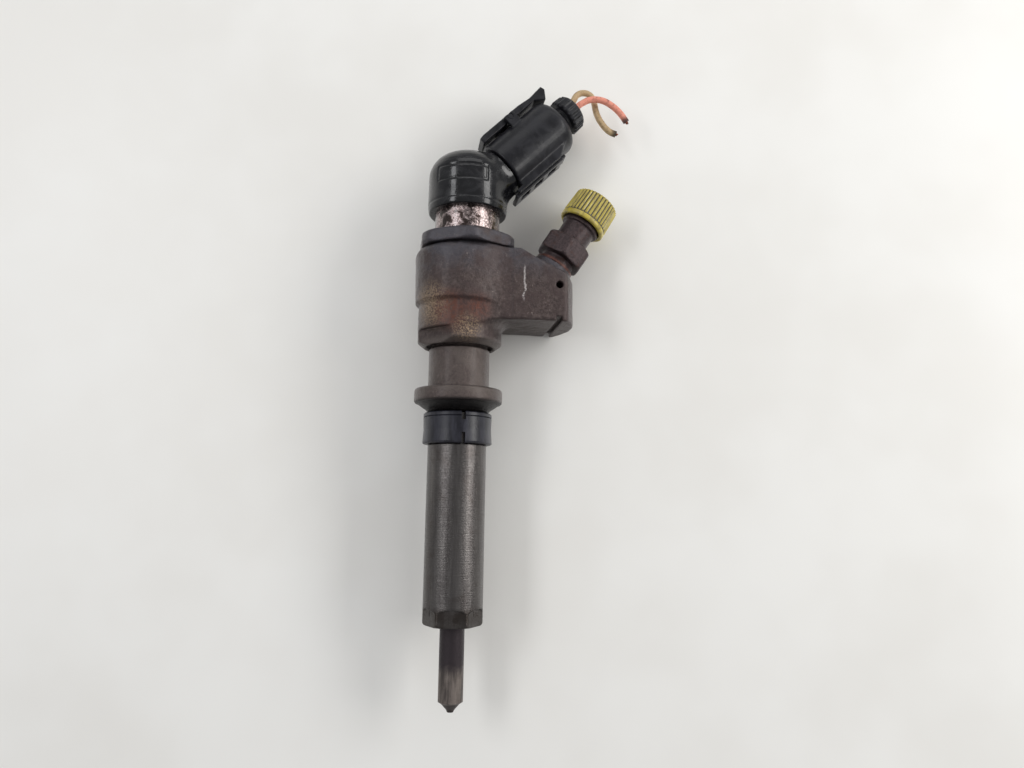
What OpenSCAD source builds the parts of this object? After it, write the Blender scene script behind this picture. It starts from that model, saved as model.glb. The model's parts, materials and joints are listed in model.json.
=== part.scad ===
// Common-rail fuel injector with a piezo actuator, millimetres.
// Origin: on the nozzle axis at the bottom face of the retaining nut.
// +Z runs up the injector to its connector, +X points along the inlet arm.

/* [Nozzle and retaining nut] */
// Diameter of the nozzle shank
nozzle_d = 7; // [6.9:0.05:7]
// Length of the cylindrical nozzle shank below the nut
nozzle_reach = 20.4; // [18:0.2:24]
// Outer diameter of the retaining nut
nut_d = 17; // [16.8:0.1:17.2]
// Width across the flats at the foot of the retaining nut
nut_flat_af = 15; // [14.6:0.1:15.4]
// Height of the flats
nut_flat_h = 4; // [3:0.5:6]

/* [Body] */
// Diameter of the neck between flange and barrel
neck_d = 17.9; // [17.6:0.1:18.2]
// Diameter of the clamping flange
flange_d = 25.8; // [25:0.2:27]
// Diameter of the lower barrel
lower_d = 24.8; // [24.4:0.2:25.4]
// Diameter of the upper barrel
upper_d = 27.6; // [27.2:0.2:28]
// Distance from the nozzle axis to the end of the arm
arm_reach = 33.7; // [33:0.1:35]
// Width of the arm
arm_w = 22.4; // [21:0.2:23]
// Fall of the arm's sloping top, degrees
slope_angle = 26.5; // [25:0.5:28]
// Distance of the actuator axis from the nozzle axis
actuator_x = 1.4; // [1.2:0.1:1.6]

/* [Inlet fitting] */
// Lean of the fitting from the vertical, degrees
inlet_angle = 32.5; // [31:0.5:34]
// Width across the flats of the fitting's hexagon
inlet_af = 14; // [12:0.5:14]
// Outer diameter of the inlet thread
inlet_thread_d = 12; // [11.8:0.1:12]
// Number of grip ribs round the dust cap
dust_ribs = 36; // [24:1:40]

/* [Connector] */
// Diameter of the black cap over the actuator
cap_d = 24.1; // [23:0.1:24.5]
// Width across the flats of the actuator nut
actuator_nut_af = 27.5; // [26:0.5:27.5]
// Diameter of the wiring plug's barrel
plug_d = 17.6; // [17.4:0.1:18]
// Diameter of each wire's insulation
wire_d = 2; // [1.8:0.1:2]

/* [Hidden] */
$fn = 64;
eps = 0.01;
fit = 0.03;                    // radial clearance of the running fits
nut_top_z = 59.6;
nut_wall_in = 7.25;            // inner radius of the retaining nut
stack_r = 7.2;                 // radius of everything that the retaining nut encloses
nozzle_foot_z = 3;             // inner seat of the retaining nut
nozzle_neck_r = 3.1;           // relief under the nozzle's shoulder, inside the nut
nut_hole_r = 3.2;
sleeve_foot_z = 50.6;          // the nut is turned down a little above here
sleeve_seat_r = nut_d / 2 - 0.5;
nozzle_top_z = 18;
adapter_top_z = 22;
spring_top_z = 44;             // roof of the needle spring's chamber
duct_x = 5;                    // high-pressure duct, from the nozzle axis
duct_r = 0.8;
piston_r = 2.1;
needle_r = 2;
neck_r = neck_d / 2;
lower_r = lower_d / 2;
upper_r = upper_d / 2;
flange_r = flange_d / 2;
body_top_z = 108.3;
arm_bottom_z = 86.4;
arm_arc_r = 19.7;              // the arm's end is an arc in plan
slope_x = 16.5;                // where the slope leaves the flat top
slope_z = 107.9;
clip_x = arm_reach - 5.7;      // clip hole and clip groove of the return connector
port_z = 92;                   // return port in the arm's end
port_r = 3.5;
port_depth = 8;
spanner_af = 20.8;             // across the flats of the lower barrel
inlet_x = 26.3;                // where the fitting's axis meets the slope
inlet_z = 103;
boss_h = 3.2;
thread_hole_r = 3.5;
chamber_z = 89.5;              // floor of the valve chamber
chamber_r = 7.5;
bore_z = 99.4;                 // floor of the actuator bore
bore_r = 9.8;
collar_z = 109.2;              // seat of the actuator's collar
collar_r = 10.95;
spigot_r = 12;
spigot_top_z = 110.9;
nut_foot_z = 108.6;             // foot and top of the actuator nut
nut_head_z = 112.6;
housing_r = 9.75;
housing_top_z = 134.3;
stack_top_z = 131.3;
piezo_z = 101.45;
piezo_top_z = 128.8;
lever_pivot = 5;               // from the actuator axis to the lever's knife edge
lever_push = 3.1;              // from the actuator axis to the drive plate's ridge
lever_z = 97.45;
cap_r = cap_d / 2;
cap_bottom_z = 120.4;
cap_top_z = 139.3;
contact_z = 135.7;             // where the contacts cross over under the dome
plug_r = plug_d / 2;
plug_root_z = 125.3;           // where the plug's axis meets the actuator's axis
plug_front = 14.5;             // distances along the plug's axis
stub_mouth = 26;
plug_rear = 39.5;
collar_rear = 45.9;
wire_r = wire_d / 2;
contact_y = 1.9;               // contacts, terminals and wires stand this far apart, halved
contact_x = -0.5;              // their place across the plug
core_r = 5.3;                  // plug's inner core, which holds the terminals

// Wire courses, in the plug's own frame: x across, y away, z along the plug's axis.
pink_course = [
    [-0.5, -1.9, 29.6], [-0.5, -1.9, 32], [-0.5, -1.9, 34.5], [-0.5, -1.9, 37],
    [-0.5, -1.9, 39.5], [-0.4, -1.8, 42], [-0.1, -1.6, 44.6], [0.3, -1.5, 47.2],
    [0.6, -1.6, 49.6], [1.3, -1.8, 51.9],
    [3, -2, 54], [4.9, -2.2, 55.2], [7.1, -2.4, 55.8], [9.5, -2.5, 56.1],
    [12, -2.5, 56], [14.5, -2.4, 55.6]];
beige_course = [
    [-0.5, 1.9, 29.6], [-0.5, 1.9, 32], [-0.5, 1.9, 34.5], [-0.5, 1.9, 37],
    [-0.5, 1.9, 39.5], [-0.8, 1.8, 42], [-1.2, 1.6, 44.6], [-1.8, 1.5, 47.2],
    [-2.6, 1.5, 49.7], [-3.2, 1.6, 52], [-2.4, 1.6, 54.1], [-0.6, 1.5, 55.1],
    [1.5, 1.3, 54.7], [3.3, 1.1, 53.5], [5, 0.9, 52.3],
    [6.9, 0.8, 51.4], [8.9, 0.8, 50.9], [11, 0.8, 50.7], [12.9, 0.9, 51], [14.6, 1, 51.9]];

// ---- helpers -------------------------------------------------------------------------

// Points of an arc round (cx, cy), for outlines.
function arc(cx, cy, r, a0, a1, n = 6) =
    [for (i = [0 : n]) let (a = a0 + (a1 - a0) * i / n) [cx + r * cos(a), cy + r * sin(a)]];

module ring(r_out, r_in, z0, z1) {
    translate([0, 0, z0]) difference() {
        cylinder(r = r_out, h = z1 - z0);
        translate([0, 0, -1]) cylinder(r = r_in, h = z1 - z0 + 2);
    }
}

// Hexagonal prism with flats parallel to the X axis when turn = 0.
module hexagon(af, h, turn = 0) {
    rotate([0, 0, turn]) cylinder(r = af / sqrt(3), h = h, $fn = 6);
}

module rod(from, to, r) {
    d = to - from;
    length = norm(d);
    translate(from)
        rotate([0, acos(d[2] / length), atan2(d[1], d[0])])
            cylinder(r = r, h = length);
}

// Frames of the pieces that lean.
module on_actuator() { translate([actuator_x, 0, 0]) children(); }
module on_inlet() { translate([inlet_x, 0, inlet_z]) rotate([0, inlet_angle, 0]) children(); }
module on_plug() {
    translate([actuator_x, 0, plug_root_z]) rotate([0, 45, 0]) children();
}

function unit(v) = v / norm(v);

// Tube along a course: one ring of corners at each of its points.
module tube(course, r, sides = 8) {
    last = len(course) - 1;
    corners = [for (i = [0 : last])
        let (along = unit(course[min(i + 1, last)] - course[max(i - 1, 0)]),
             across = unit(cross(along, [0, 1, 0])),
             up = cross(across, along))
        for (k = [0 : sides - 1])
            course[i] + r * (cos(360 * k / sides) * across + sin(360 * k / sides) * up)];
    walls = [for (i = [0 : last - 1], k = [0 : sides - 1])
        let (a = i * sides + k, b = i * sides + (k + 1) % sides)
            [a, b, b + sides, a + sides]];
    start = [[for (k = [sides - 1 : -1 : 0]) k]];
    finish = [[for (k = [0 : sides - 1]) last * sides + k]];
    polyhedron(points = corners, faces = concat(walls, start, finish));
}

// Helical spring wire as a polyhedron, on the Z axis.
module coil(mean_r, wire_radius, z0, z1, turns, sides = 6, steps = 14) {
    count = turns * steps;
    rise = (z1 - z0 - 2 * wire_radius) / count;
    corners = [for (i = [0 : count])
        let (a = 360 * i / steps)
        for (k = [0 : sides - 1])
            let (b = 360 * k / sides, reach = mean_r + wire_radius * cos(b))
            [reach * cos(a), reach * sin(a),
             z0 + wire_radius + rise * i + wire_radius * sin(b)]];
    walls = [for (i = [0 : count - 1], k = [0 : sides - 1])
        let (a = i * sides + k, b = i * sides + (k + 1) % sides)
            [a, a + sides, b + sides, b]];
    start = [[for (k = [0 : sides - 1]) k]];
    finish = [[for (k = [sides - 1 : -1 : 0]) count * sides + k]];
    polyhedron(points = corners, faces = concat(walls, start, finish));
}

// ---- body ----------------------------------------------------------------------------

// Half section of everything that is round about the nozzle axis.
module barrel_section() {
    polygon(concat(
        [[0, adapter_top_z], [stack_r, adapter_top_z], [stack_r, nut_top_z + 0.2],
         [8.7, nut_top_z + 0.2], [9.4, 60.6], [12.1, 62.5]],
        arc(flange_r - 0.8, 63.2, 0.8, -50, 0, 3),
        arc(flange_r - 0.6, 66, 0.6, 0, 90, 3),
        [[neck_r, 66.6], [neck_r, 78.3], [8.3, 78.8], [8.3, 80.6], [9.8, 80.6],
         [9.8, 79.2], [10.4, 78.9], [lower_r, 80.4], [lower_r, 90.6]],
        arc(upper_r, 90.6 + (upper_r - lower_r), upper_r - lower_r, 180, 90, 4),
        arc(upper_r - 2.2, body_top_z - 2.2, 2.2, 0, 90, 5),
        [[0, body_top_z]]));
}

// The arm seen from the side: flat foot, sloping top.
module arm_side() {
    fall = (arm_reach + 2 - slope_x) * tan(slope_angle);
    polygon([[0, arm_bottom_z], [arm_reach + 2, arm_bottom_z],
        [arm_reach + 2, slope_z - fall], [slope_x, slope_z], [0, slope_z]]);
}

// The arm seen from above: parallel sides and an arc at the end.
module arm_plan() {
    intersection() {
        translate([0, -arm_w / 2]) square([arm_reach + 1, arm_w]);
        translate([arm_reach - arm_arc_r, 0]) circle(r = arm_arc_r, $fn = 96);
    }
    translate([0, -arm_w / 2]) square([16, arm_w]);
}

module arm() {
    intersection() {
        translate([0, arm_w / 2, 0]) rotate([90, 0, 0]) linear_extrude(arm_w) arm_side();
        translate([0, 0, arm_bottom_z - 1]) linear_extrude(30) arm_plan();
    }
    on_inlet() translate([0, 0, -6]) cylinder(r = 6.3, h = 6 + boss_h);
}

// Ducts that carry fuel: straight down beside the spring, and slanting from the inlet.
module high_pressure_ducts() {
    translate([duct_x, 0, adapter_top_z - 1])
        cylinder(r = duct_r, h = chamber_z - adapter_top_z + 2);
    foot = [duct_x, 0, 83.5];
    seat = [inlet_x - 4.5 * sin(inlet_angle), 0, inlet_z - 4.5 * cos(inlet_angle)];
    rod(foot, seat, duct_r);
}

module return_ducts() {
    translate([arm_reach - port_depth, 0, port_z])
        rotate([0, 90, 0]) cylinder(r = port_r, h = port_depth + 1);
    rod([arm_reach - port_depth + 0.5, -1.5, port_z], [6, -5.6, 97.2], 0.75);
}

module injector_body() {
    color([0.27, 0.22, 0.2]) difference() {
        union() {
            rotate_extrude($fn = 96) barrel_section();
            arm();
            on_actuator() translate([0, 0, body_top_z - 1])
                cylinder(r = spigot_r, h = spigot_top_z - body_top_z + 1);
        }
        // spring chamber, piston bore, valve chamber and actuator bore
        translate([0, 0, adapter_top_z - 1])
            cylinder(r = 3.3, h = spring_top_z - adapter_top_z + 1);
        translate([0, 0, spring_top_z - 1])
            cylinder(r = piston_r + fit, h = chamber_z - spring_top_z + 2);
        on_actuator() {
            translate([0, 0, chamber_z]) cylinder(r = chamber_r, h = 20);
            translate([0, 0, bore_z]) cylinder(r = bore_r, h = 20);
            translate([0, 0, collar_z]) cylinder(r = collar_r, h = 5);
        }
        high_pressure_ducts();
        return_ducts();
        on_inlet() {
            translate([0, 0, -4]) cylinder(r = thread_hole_r, h = 20);
        }
        // dowel holes in the foot
        for (a = [70, 250])
            rotate([0, 0, a]) translate([5, 0, adapter_top_z - 1]) cylinder(r = 0.73, h = 3.1);
        // clip hole in the near side and clip groove across the underside
        translate([clip_x, -6.2, 97.3]) rotate([90, 0, 0]) cylinder(r = 1.05, h = 20);
        translate([clip_x - 0.8, -20, arm_bottom_z - 1]) cube([1.6, 40, 2.4]);
        // pair of spanner flats at the foot of the lower barrel
        for (a = [42.6, 222.6])
            rotate([0, 0, a]) translate([spanner_af / 2, -20, 76]) cube([10, 40, 7.6]);
    }
}

// ---- nozzle end ----------------------------------------------------------------------

module nozzle_nut() {
    color([0.42, 0.41, 0.4]) intersection() {
        rotate_extrude($fn = 96) polygon(concat(
            [[nut_hole_r, 0.9], [nut_hole_r + 0.9, 0]],
            arc(nut_d / 2 - 0.8, 0.8, 0.8, -90, 0, 4),
            [[nut_d / 2, sleeve_foot_z - 0.1], [sleeve_seat_r, sleeve_foot_z],
             [sleeve_seat_r, nut_top_z], [nut_wall_in, nut_top_z],
             [nut_wall_in, nozzle_foot_z], [nut_hole_r, nozzle_foot_z]]));
        union() {
            translate([0, 0, -1]) hexagon(nut_flat_af, nut_flat_h + 2, 21);
            translate([0, 0, nut_flat_h]) cylinder(r = nut_d / 2 + 1, h = nut_top_z);
        }
    }
}

module nozzle_body() {
    tip = nozzle_reach;
    color([0.2, 0.18, 0.2]) difference() {
        rotate_extrude($fn = 96) polygon(concat(
            [[0, -tip - 3], [0.9, -tip - 2.8]],
            [[1.15, -tip - 2.2], [2.7, -tip - 0.5], [nozzle_d / 2, -tip],
             [nozzle_d / 2, 0], [nozzle_neck_r, 0.4],
             [nozzle_neck_r, nozzle_foot_z + 0.02], [stack_r - 0.15, nozzle_foot_z + 0.02],
             [stack_r - 0.15, nozzle_top_z - 0.5], [6.5, nozzle_top_z], [0, nozzle_top_z]]));
        // guide, fuel gallery, shank bore, seat cone and sac
        translate([0, 0, 5]) cylinder(r = needle_r + fit, h = 20);
        translate([0, 0, 5]) cylinder(r = 3.4, h = 3);
        translate([0, 0, -tip + 1]) cylinder(r = 2.1, h = tip + 5);
        translate([0, 0, -tip - 1.4]) cylinder(r1 = 0.45, r2 = 2.1, h = 2.4 + eps);
        translate([0, 0, -tip - 2.2]) cylinder(r = 0.45, h = 1);
        // feed from the duct to the gallery
        rod([duct_x, 0, nozzle_top_z + 0.2], [3, 0, 6.5], duct_r);
        for (a = [70, 250])
            rotate([0, 0, a]) translate([5, 0, nozzle_top_z - 2.1]) cylinder(r = 0.73, h = 3);
        // spray holes
        for (a = [30 : 60 : 330])
            rotate([0, 0, a]) rod([0, 0, -tip - 1.7], [3, 0, -tip - 2.8], 0.13);
    }
}

module nozzle_needle() {
    tip = nozzle_reach;
    color([0.7, 0.7, 0.72]) rotate_extrude() polygon([
        [0, -tip - 1.35], [0.3, -tip - 1.25], [0.74, -tip - 0.9], [1.5, -tip + 0.2],
        [1.5, 5.2], [needle_r, 6],
        [needle_r, nozzle_top_z - 0.4], [1.3, nozzle_top_z - 0.4], [1.3, 24.5], [0, 24.5]]);
}

module adapter_plate() {
    color([0.5, 0.5, 0.52]) difference() {
        ring(stack_r - 0.15, 1.6, nozzle_top_z, adapter_top_z);
        translate([duct_x, 0, nozzle_top_z - 1]) cylinder(r = duct_r, h = 6);
        for (a = [70, 250])
            rotate([0, 0, a]) translate([5, 0, nozzle_top_z - 1]) cylinder(r = 0.73, h = 6);
    }
}

module dowel_pins() {
    color([0.75, 0.75, 0.75]) for (a = [70, 250])
        rotate([0, 0, a]) translate([5, 0, nozzle_top_z - 2]) cylinder(r = 0.7, h = 8);
}

module spring_seat() {
    color([0.6, 0.6, 0.62]) translate([0, 0, 24.5]) cylinder(r = 3, h = 1.8);
}

module needle_spring() {
    color([0.6, 0.6, 0.6]) coil(2.3, 0.5, 26.35, 42.45, 9);
}

module spring_shim() {
    color([0.65, 0.65, 0.62]) ring(3.2, 1.5, 42.5, spring_top_z);
}

module control_piston() {
    color([0.7, 0.7, 0.72]) rotate_extrude() polygon([
        [0, 26.3], [1.2, 26.3], [1.2, spring_top_z + 0.5], [piston_r, spring_top_z + 0.5],
        [piston_r, 88.3], [piston_r - 0.3, 88.6], [0, 88.6]]);
}

module locating_sleeve() {
    top = nut_top_z;
    foot = sleeve_foot_z;
    inside = sleeve_seat_r + 0.05;
    color([0.1, 0.1, 0.11]) difference() {
        rotate_extrude($fn = 96) polygon(concat(
            [[inside, foot]],
            arc(9.5, foot + 0.6, 0.6, -90, 0, 3),
            [[9.85, foot + 4], [9.95, foot + 7.6], [9.7, foot + 7.75], [9.95, foot + 7.9],
             [9.95, top - 0.3], [9.65, top], [inside, top]]));
        for (i = [0 : 2]) rotate([0, 0, -84 + 120 * i]) {
            translate([7, -0.6, top - 2.4]) cube([4, 1.2, 3]);
            translate([7, -0.5, foot - 1]) cube([4, 1, 4]);
        }
    }
}

// ---- valve and stroke amplifier ------------------------------------------------------

module orifice_plate() {
    color([0.55, 0.55, 0.58]) difference() {
        on_actuator() translate([0, 0, chamber_z]) cylinder(r = chamber_r - 0.15, h = 2);
        translate([0, 0, chamber_z - 1]) cylinder(r = 0.3, h = 3.5);
        translate([duct_x, 0, chamber_z - 1]) cylinder(r = 0.4, h = 3.5);
    }
}

module valve_body() {
    color([0.5, 0.5, 0.53]) on_actuator() difference() {
        translate([0, 0, 91.5]) cylinder(r = chamber_r - 0.15, h = 5.5);
        translate([0, 0, 91]) cylinder(r = 2, h = 3.4);
        translate([0, 0, 94.4]) cylinder(r1 = 2, r2 = 1, h = 1);
        translate([0, 0, 95]) cylinder(r = 0.98 + fit, h = 4);
        // relief slot from the valve to the leak-off side
        translate([-0.5, -8, 95.6]) cube([1, 8, 2]);
    }
}

module servo_valve() {
    color([0.72, 0.72, 0.74]) on_actuator() rotate_extrude() polygon([
        [0, 93.3], [1.7, 93.3], [1.75, 94.58], [0.8, 95.5], [0.8, 95.6], [0, 95.6]]);
}

module valve_piston() {
    color([0.65, 0.66, 0.7]) on_actuator() translate([0, 0, 95.6])
        cylinder(r = 0.98, h = lever_z - 0.02 - 95.6);
}

module valve_spring() {
    color([0.6, 0.6, 0.6]) on_actuator() coil(1.2, 0.18, 91.52, 93.28, 4, 6, 12);
}

module lever_ring() {
    color([0.5, 0.5, 0.52]) on_actuator() ring(7.3, lever_pivot, 97, lever_z);
}

// A lever reaches from its knife edge on the ring to the middle of the valve piston.
module lever() {
    difference() {
        translate([0.15, -1.6, lever_z]) cube([5.8, 3.2, 1.5]);
        translate([-1, -3, lever_z + 1.1]) cube([2, 6, 2]);
    }
}

module lever_arm_side() {
    color([0.68, 0.66, 0.6]) on_actuator() lever();
}

module lever_far_side() {
    color([0.62, 0.6, 0.56]) on_actuator() mirror([1, 0, 0]) lever();
}

module drive_plate() {
    color([0.6, 0.6, 0.6]) on_actuator() {
        translate([0, 0, 99.5]) cylinder(r = 5.85, h = piezo_z - 99.5);
        for (side = [-1, 1])
            translate([side * lever_push - 0.3, -1.6, lever_z + 1.52]) cube([0.6, 3.2, 0.6]);
    }
}

module piezo_stack() {
    color([0.75, 0.7, 0.55]) on_actuator() difference() {
        translate([-3.4, -3.4, piezo_z]) cube([6.8, 6.8, piezo_top_z - piezo_z]);
        // electrode grooves on two sides
        for (side = [-1, 1])
            translate([side * 3.4 - 0.2, -0.6, piezo_z - 1]) cube([0.4, 1.2, 40]);
    }
}

module tube_spring() {
    color([0.66, 0.64, 0.6]) on_actuator() difference() {
        ring(5.85, 5.35, piezo_z, piezo_top_z);
        for (row = [0 : 6], turn = [0 : 1])
            rotate([0, 0, 90 * turn + 45 * (row % 2)])
                translate([-8, -0.6, piezo_z + 2.2 + 3.6 * row]) cube([16, 1.2, 1.5]);
    }
}

module head_plate() {
    color([0.58, 0.58, 0.6]) on_actuator() difference() {
        translate([0, 0, piezo_top_z]) cylinder(r = 6.3, h = stack_top_z - piezo_top_z);
        for (side = [-1, 1])
            translate([0, side * contact_y, piezo_top_z - 1]) cylinder(r = 0.55, h = 5);
    }
}

module actuator_housing() {
    color([0.55, 0.5, 0.47]) on_actuator() difference() {
        rotate_extrude($fn = 96) polygon([
            [6.4, lever_z + 0.02], [7.3, lever_z + 0.02], [7.3, bore_z + 0.1],
            [housing_r, bore_z + 0.1], [housing_r, 105.2], [8.5, 105.2], [8.5, 106.8],
            [housing_r, 106.8], [housing_r, collar_z], [collar_r - 0.1, collar_z],
            [collar_r - 0.1, spigot_top_z], [housing_r, spigot_top_z],
            [housing_r, housing_top_z - 0.5], [housing_r - 0.5, housing_top_z],
            [0, housing_top_z], [0, stack_top_z], [6.4, stack_top_z]]);
        for (side = [-1, 1])
            translate([0, side * contact_y, stack_top_z - 1]) cylinder(r = 0.8, h = 5);
    }
}

module actuator_o_ring() {
    color([0.05, 0.05, 0.05]) on_actuator() translate([0, 0, 106])
        rotate_extrude() translate([9.14, 0]) circle(r = 0.62, $fn = 20);
}

module actuator_nut() {
    color([0.27, 0.22, 0.2]) on_actuator() difference() {
        intersection() {
            translate([0, 0, nut_foot_z])
                hexagon(actuator_nut_af, nut_head_z - nut_foot_z, 31);
            rotate_extrude($fn = 96) polygon([
                [0, nut_foot_z], [14.2, nut_foot_z], [15, nut_foot_z + 0.6],
                [15, nut_head_z - 0.6], [14.3, nut_head_z], [0, nut_head_z]]);
        }
        translate([0, 0, nut_foot_z - 1])
            cylinder(r = spigot_r + 0.05, h = spigot_top_z + 1.1 - nut_foot_z);
        translate([0, 0, nut_foot_z - 1]) cylinder(r = housing_r + 0.1, h = 10);
    }
}

// ---- connector -----------------------------------------------------------------------

// One contact: up from the actuator, across under the dome, then out along the plug's axis.
module contact(side, r) {
    y = side * contact_y;
    rod([actuator_x, y, stack_top_z - 1.5], [actuator_x, y, contact_z + 0.5], r);
    rod([actuator_x - 0.5, y, contact_z], [11.1, y, contact_z], r);
    rod([10.9, y, contact_z - 0.2], [18.6, y, contact_z + 7.5], r);
}

module contact_pins() {
    color([0.8, 0.68, 0.3]) for (side = [-1, 1]) contact(side, 0.5);
}

module connector_cap() {
    color([0.04, 0.04, 0.045]) difference() {
        union() {
            difference() {
                on_actuator() rotate_extrude($fn = 96) polygon(concat(
                    [[0, cap_bottom_z], [cap_r - 0.35, cap_bottom_z],
                     [cap_r, cap_bottom_z + 1.8]],
                    arc(cap_r - 8, cap_top_z - 8, 8, 0, 90, 8),
                    [[0, cap_top_z]]));
                // room for the plug's front rim at the dome's shoulder
                on_plug() translate([0, 0, plug_front - 0.25]) cylinder(r = plug_r + 0.3, h = 20);
            }
            on_plug() translate([0, 0, 3]) cylinder(r = 7.9, h = plug_front - 3.3);
            on_plug() translate([0, 0, 3]) cylinder(r = 6.4, h = stub_mouth - 3);
            // catch for the plug's latch
            on_plug() translate([-7.75, -1.5, 19.5]) cube([2, 3, 1.6]);
        }
        on_actuator() translate([0, 0, cap_bottom_z - 1])
            cylinder(r = housing_r + 0.05, h = housing_top_z + 0.1 - cap_bottom_z + 1);
        on_plug() translate([0, 0, 17]) cylinder(r = 5.5, h = 20);
        for (side = [-1, 1]) contact(side, 0.52);
    }
}

module plug_housing() {
    color([0.05, 0.05, 0.055]) on_plug() difference() {
        union() {
            rotate_extrude($fn = 96) polygon(concat(
                [[0, plug_front], [plug_r - 0.3, plug_front], [plug_r, plug_front + 0.3]],
                arc(plug_r - 3, plug_rear - 3.6, 3, 0, 75, 6),
                [[4.2, plug_rear], [4.2, plug_rear + 0.9], [0, plug_rear + 0.9]]));
            // rails that carry the lock slide, on the side away from the latch
            for (side = [-1, 1]) {
                translate([5, side * 4.5 - 0.9, plug_front]) cube([4.6, 1.8, 15.5]);
                translate([8.4, side * 4.5 - 0.9, 12]) cube([1.2, 1.8, 3]);
                translate([0, side * 4.5 + 0.9, 0]) rotate([90, 0, 0]) linear_extrude(1.8)
                    polygon([[5, 29], [9.6, 29], [9.6, 30], [6.5, 35], [5, 35]]);
            }
            // ears for the latch's pivot
            for (side = [-1, 1])
                translate([-11.1, side * 4.9 - 0.6, 25.2]) cube([5, 1.2, 3.6]);
        }
        // socket: an annulus round the core that holds the terminals
        translate([0, 0, plug_front - 8]) cylinder(r = 7.1, h = 11.5);
        ring(7.1, core_r, plug_front, stub_mouth + 1);
        for (side = [-1, 1])
            translate([contact_x, side * contact_y, 17]) cylinder(r = 1.5, h = 15);
        translate([0, 0, 31]) cylinder(r = 3.9, h = 20);
        // way for the catch and the latch's tooth
        translate([-12, -2, plug_front - 1]) cube([6, 4, 9.4]);
        translate([-10.1, 8, 27]) rotate([90, 0, 0]) cylinder(r = 0.95, h = 16);
    }
}

module plug_latch() {
    color([0.05, 0.05, 0.055]) on_plug() {
        translate([0, 4, 0]) rotate([90, 0, 0]) linear_extrude(8) polygon([
            [-9.3, 15.4], [-11.2, 15.4], [-11.5, 17], [-11.5, 32], [-11, 36.5], [-11.5, 41.9],
            [-10, 42.3], [-7.4, 40.3], [-7.6, 39.7], [-9.5, 37.1], [-9.4, 32]]);
        translate([-10.1, 5.4, 27]) rotate([90, 0, 0]) cylinder(r = 0.9, h = 10.8);
        translate([-9.4, -1.4, 21.4]) cube([1.4, 2.8, 1]);
    }
}

module plug_lock() {
    color([0.07, 0.07, 0.075]) on_plug() difference() {
        union() {
            translate([9, -3.5, 11]) cube([1.3, 7, 19.9]);
            translate([9, -2.6, 26]) cube([1, 5.2, 6.6]);
        }
        for (z = [13.4, 19.2, 25])
            translate([8, -1.8, z]) cube([4, 3.6, 3.4]);
    }
}

module plug_terminals() {
    color([0.8, 0.7, 0.35]) on_plug() for (side = [-1, 1])
        translate([contact_x, side * contact_y, 0]) difference() {
            translate([-1, -1, 19]) cube([2, 2, 10.6]);
            translate([-0.6, -0.6, 18]) cube([1.2, 1.2, 8]);
        }
}

module plug_seal() {
    color([0.5, 0.2, 0.1]) on_plug() {
        ring(6.95, 6.45, 22.6, 26.6);
        for (z = [23.4, 25.4]) ring(7.05, 6.6, z, z + 0.6);
    }
}

module wire_holes() {
    for (side = [-1, 1])
        translate([contact_x, side * contact_y, 25]) cylinder(r = wire_r + 0.04, h = 30);
}

module wire_seal() {
    color([0.55, 0.3, 0.12]) on_plug() difference() {
        translate([0, 0, 33.5]) cylinder(r = 3.85, h = 5);
        wire_holes();
    }
}

module wire_collar() {
    color([0.05, 0.05, 0.055]) on_plug() difference() {
        union() {
            translate([0, 0, plug_rear + 1]) cylinder(r = 4, h = 3);
            translate([0, 0, plug_rear + 2]) cylinder(r = 5.6, h = collar_rear - plug_rear - 2);
            for (a = [0 : 18 : 342])
                rotate([0, 0, a]) translate([5.4, -0.35, plug_rear + 2])
                    cube([0.5, 0.7, collar_rear - plug_rear - 2.4]);
        }
        translate([0, 0, plug_rear]) cylinder(r = 3.3, h = 10);
    }
}

module wire_pink() {
    color([0.85, 0.5, 0.42]) on_plug() tube(pink_course, wire_r);
}

module wire_beige() {
    color([0.72, 0.62, 0.42]) on_plug() tube(beige_course, wire_r);
}

// ---- inlet ---------------------------------------------------------------------------

module inlet_washer() {
    color([0.3, 0.16, 0.13]) on_inlet() ring(6.1, thread_hole_r + 0.1, boss_h, boss_h + 0.8);
}

module inlet_fitting() {
    foot = boss_h + 0.8;
    color([0.28, 0.21, 0.21]) on_inlet() difference() {
        union() {
            translate([0, 0, -3.9]) cylinder(r = thread_hole_r - 0.05, h = 10);
            translate([0, 0, foot]) cylinder(r = 5.1, h = 4);
            intersection() {
                translate([0, 0, foot + 1.9]) hexagon(inlet_af, 6.5, 30);
                rotate_extrude() polygon([[0, foot + 1.9], [7.2, foot + 1.9],
                    [8.1, foot + 2.5], [8.1, foot + 7.7], [7.2, foot + 8.4],
                    [0, foot + 8.4]]);
            }
            translate([0, 0, foot + 8]) cylinder(r = 5.2, h = 7);
            translate([0, 0, foot + 14.2]) cylinder(r = inlet_thread_d / 2, h = 9.4);
        }
        translate([0, 0, -5]) cylinder(r = 1.6, h = 40);
        translate([0, 0, foot + 20.6]) cylinder(r1 = 1.6, r2 = 4.2, h = 3 + eps);
    }
}

module edge_filter() {
    color([0.7, 0.7, 0.7]) on_inlet() difference() {
        translate([0, 0, -2]) cylinder(r = 1.55, h = 20);
        for (a = [0 : 60 : 300])
            rotate([0, 0, a]) translate([1.2, -0.2, 0]) cube([1, 0.4, 16]);
    }
}

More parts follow.
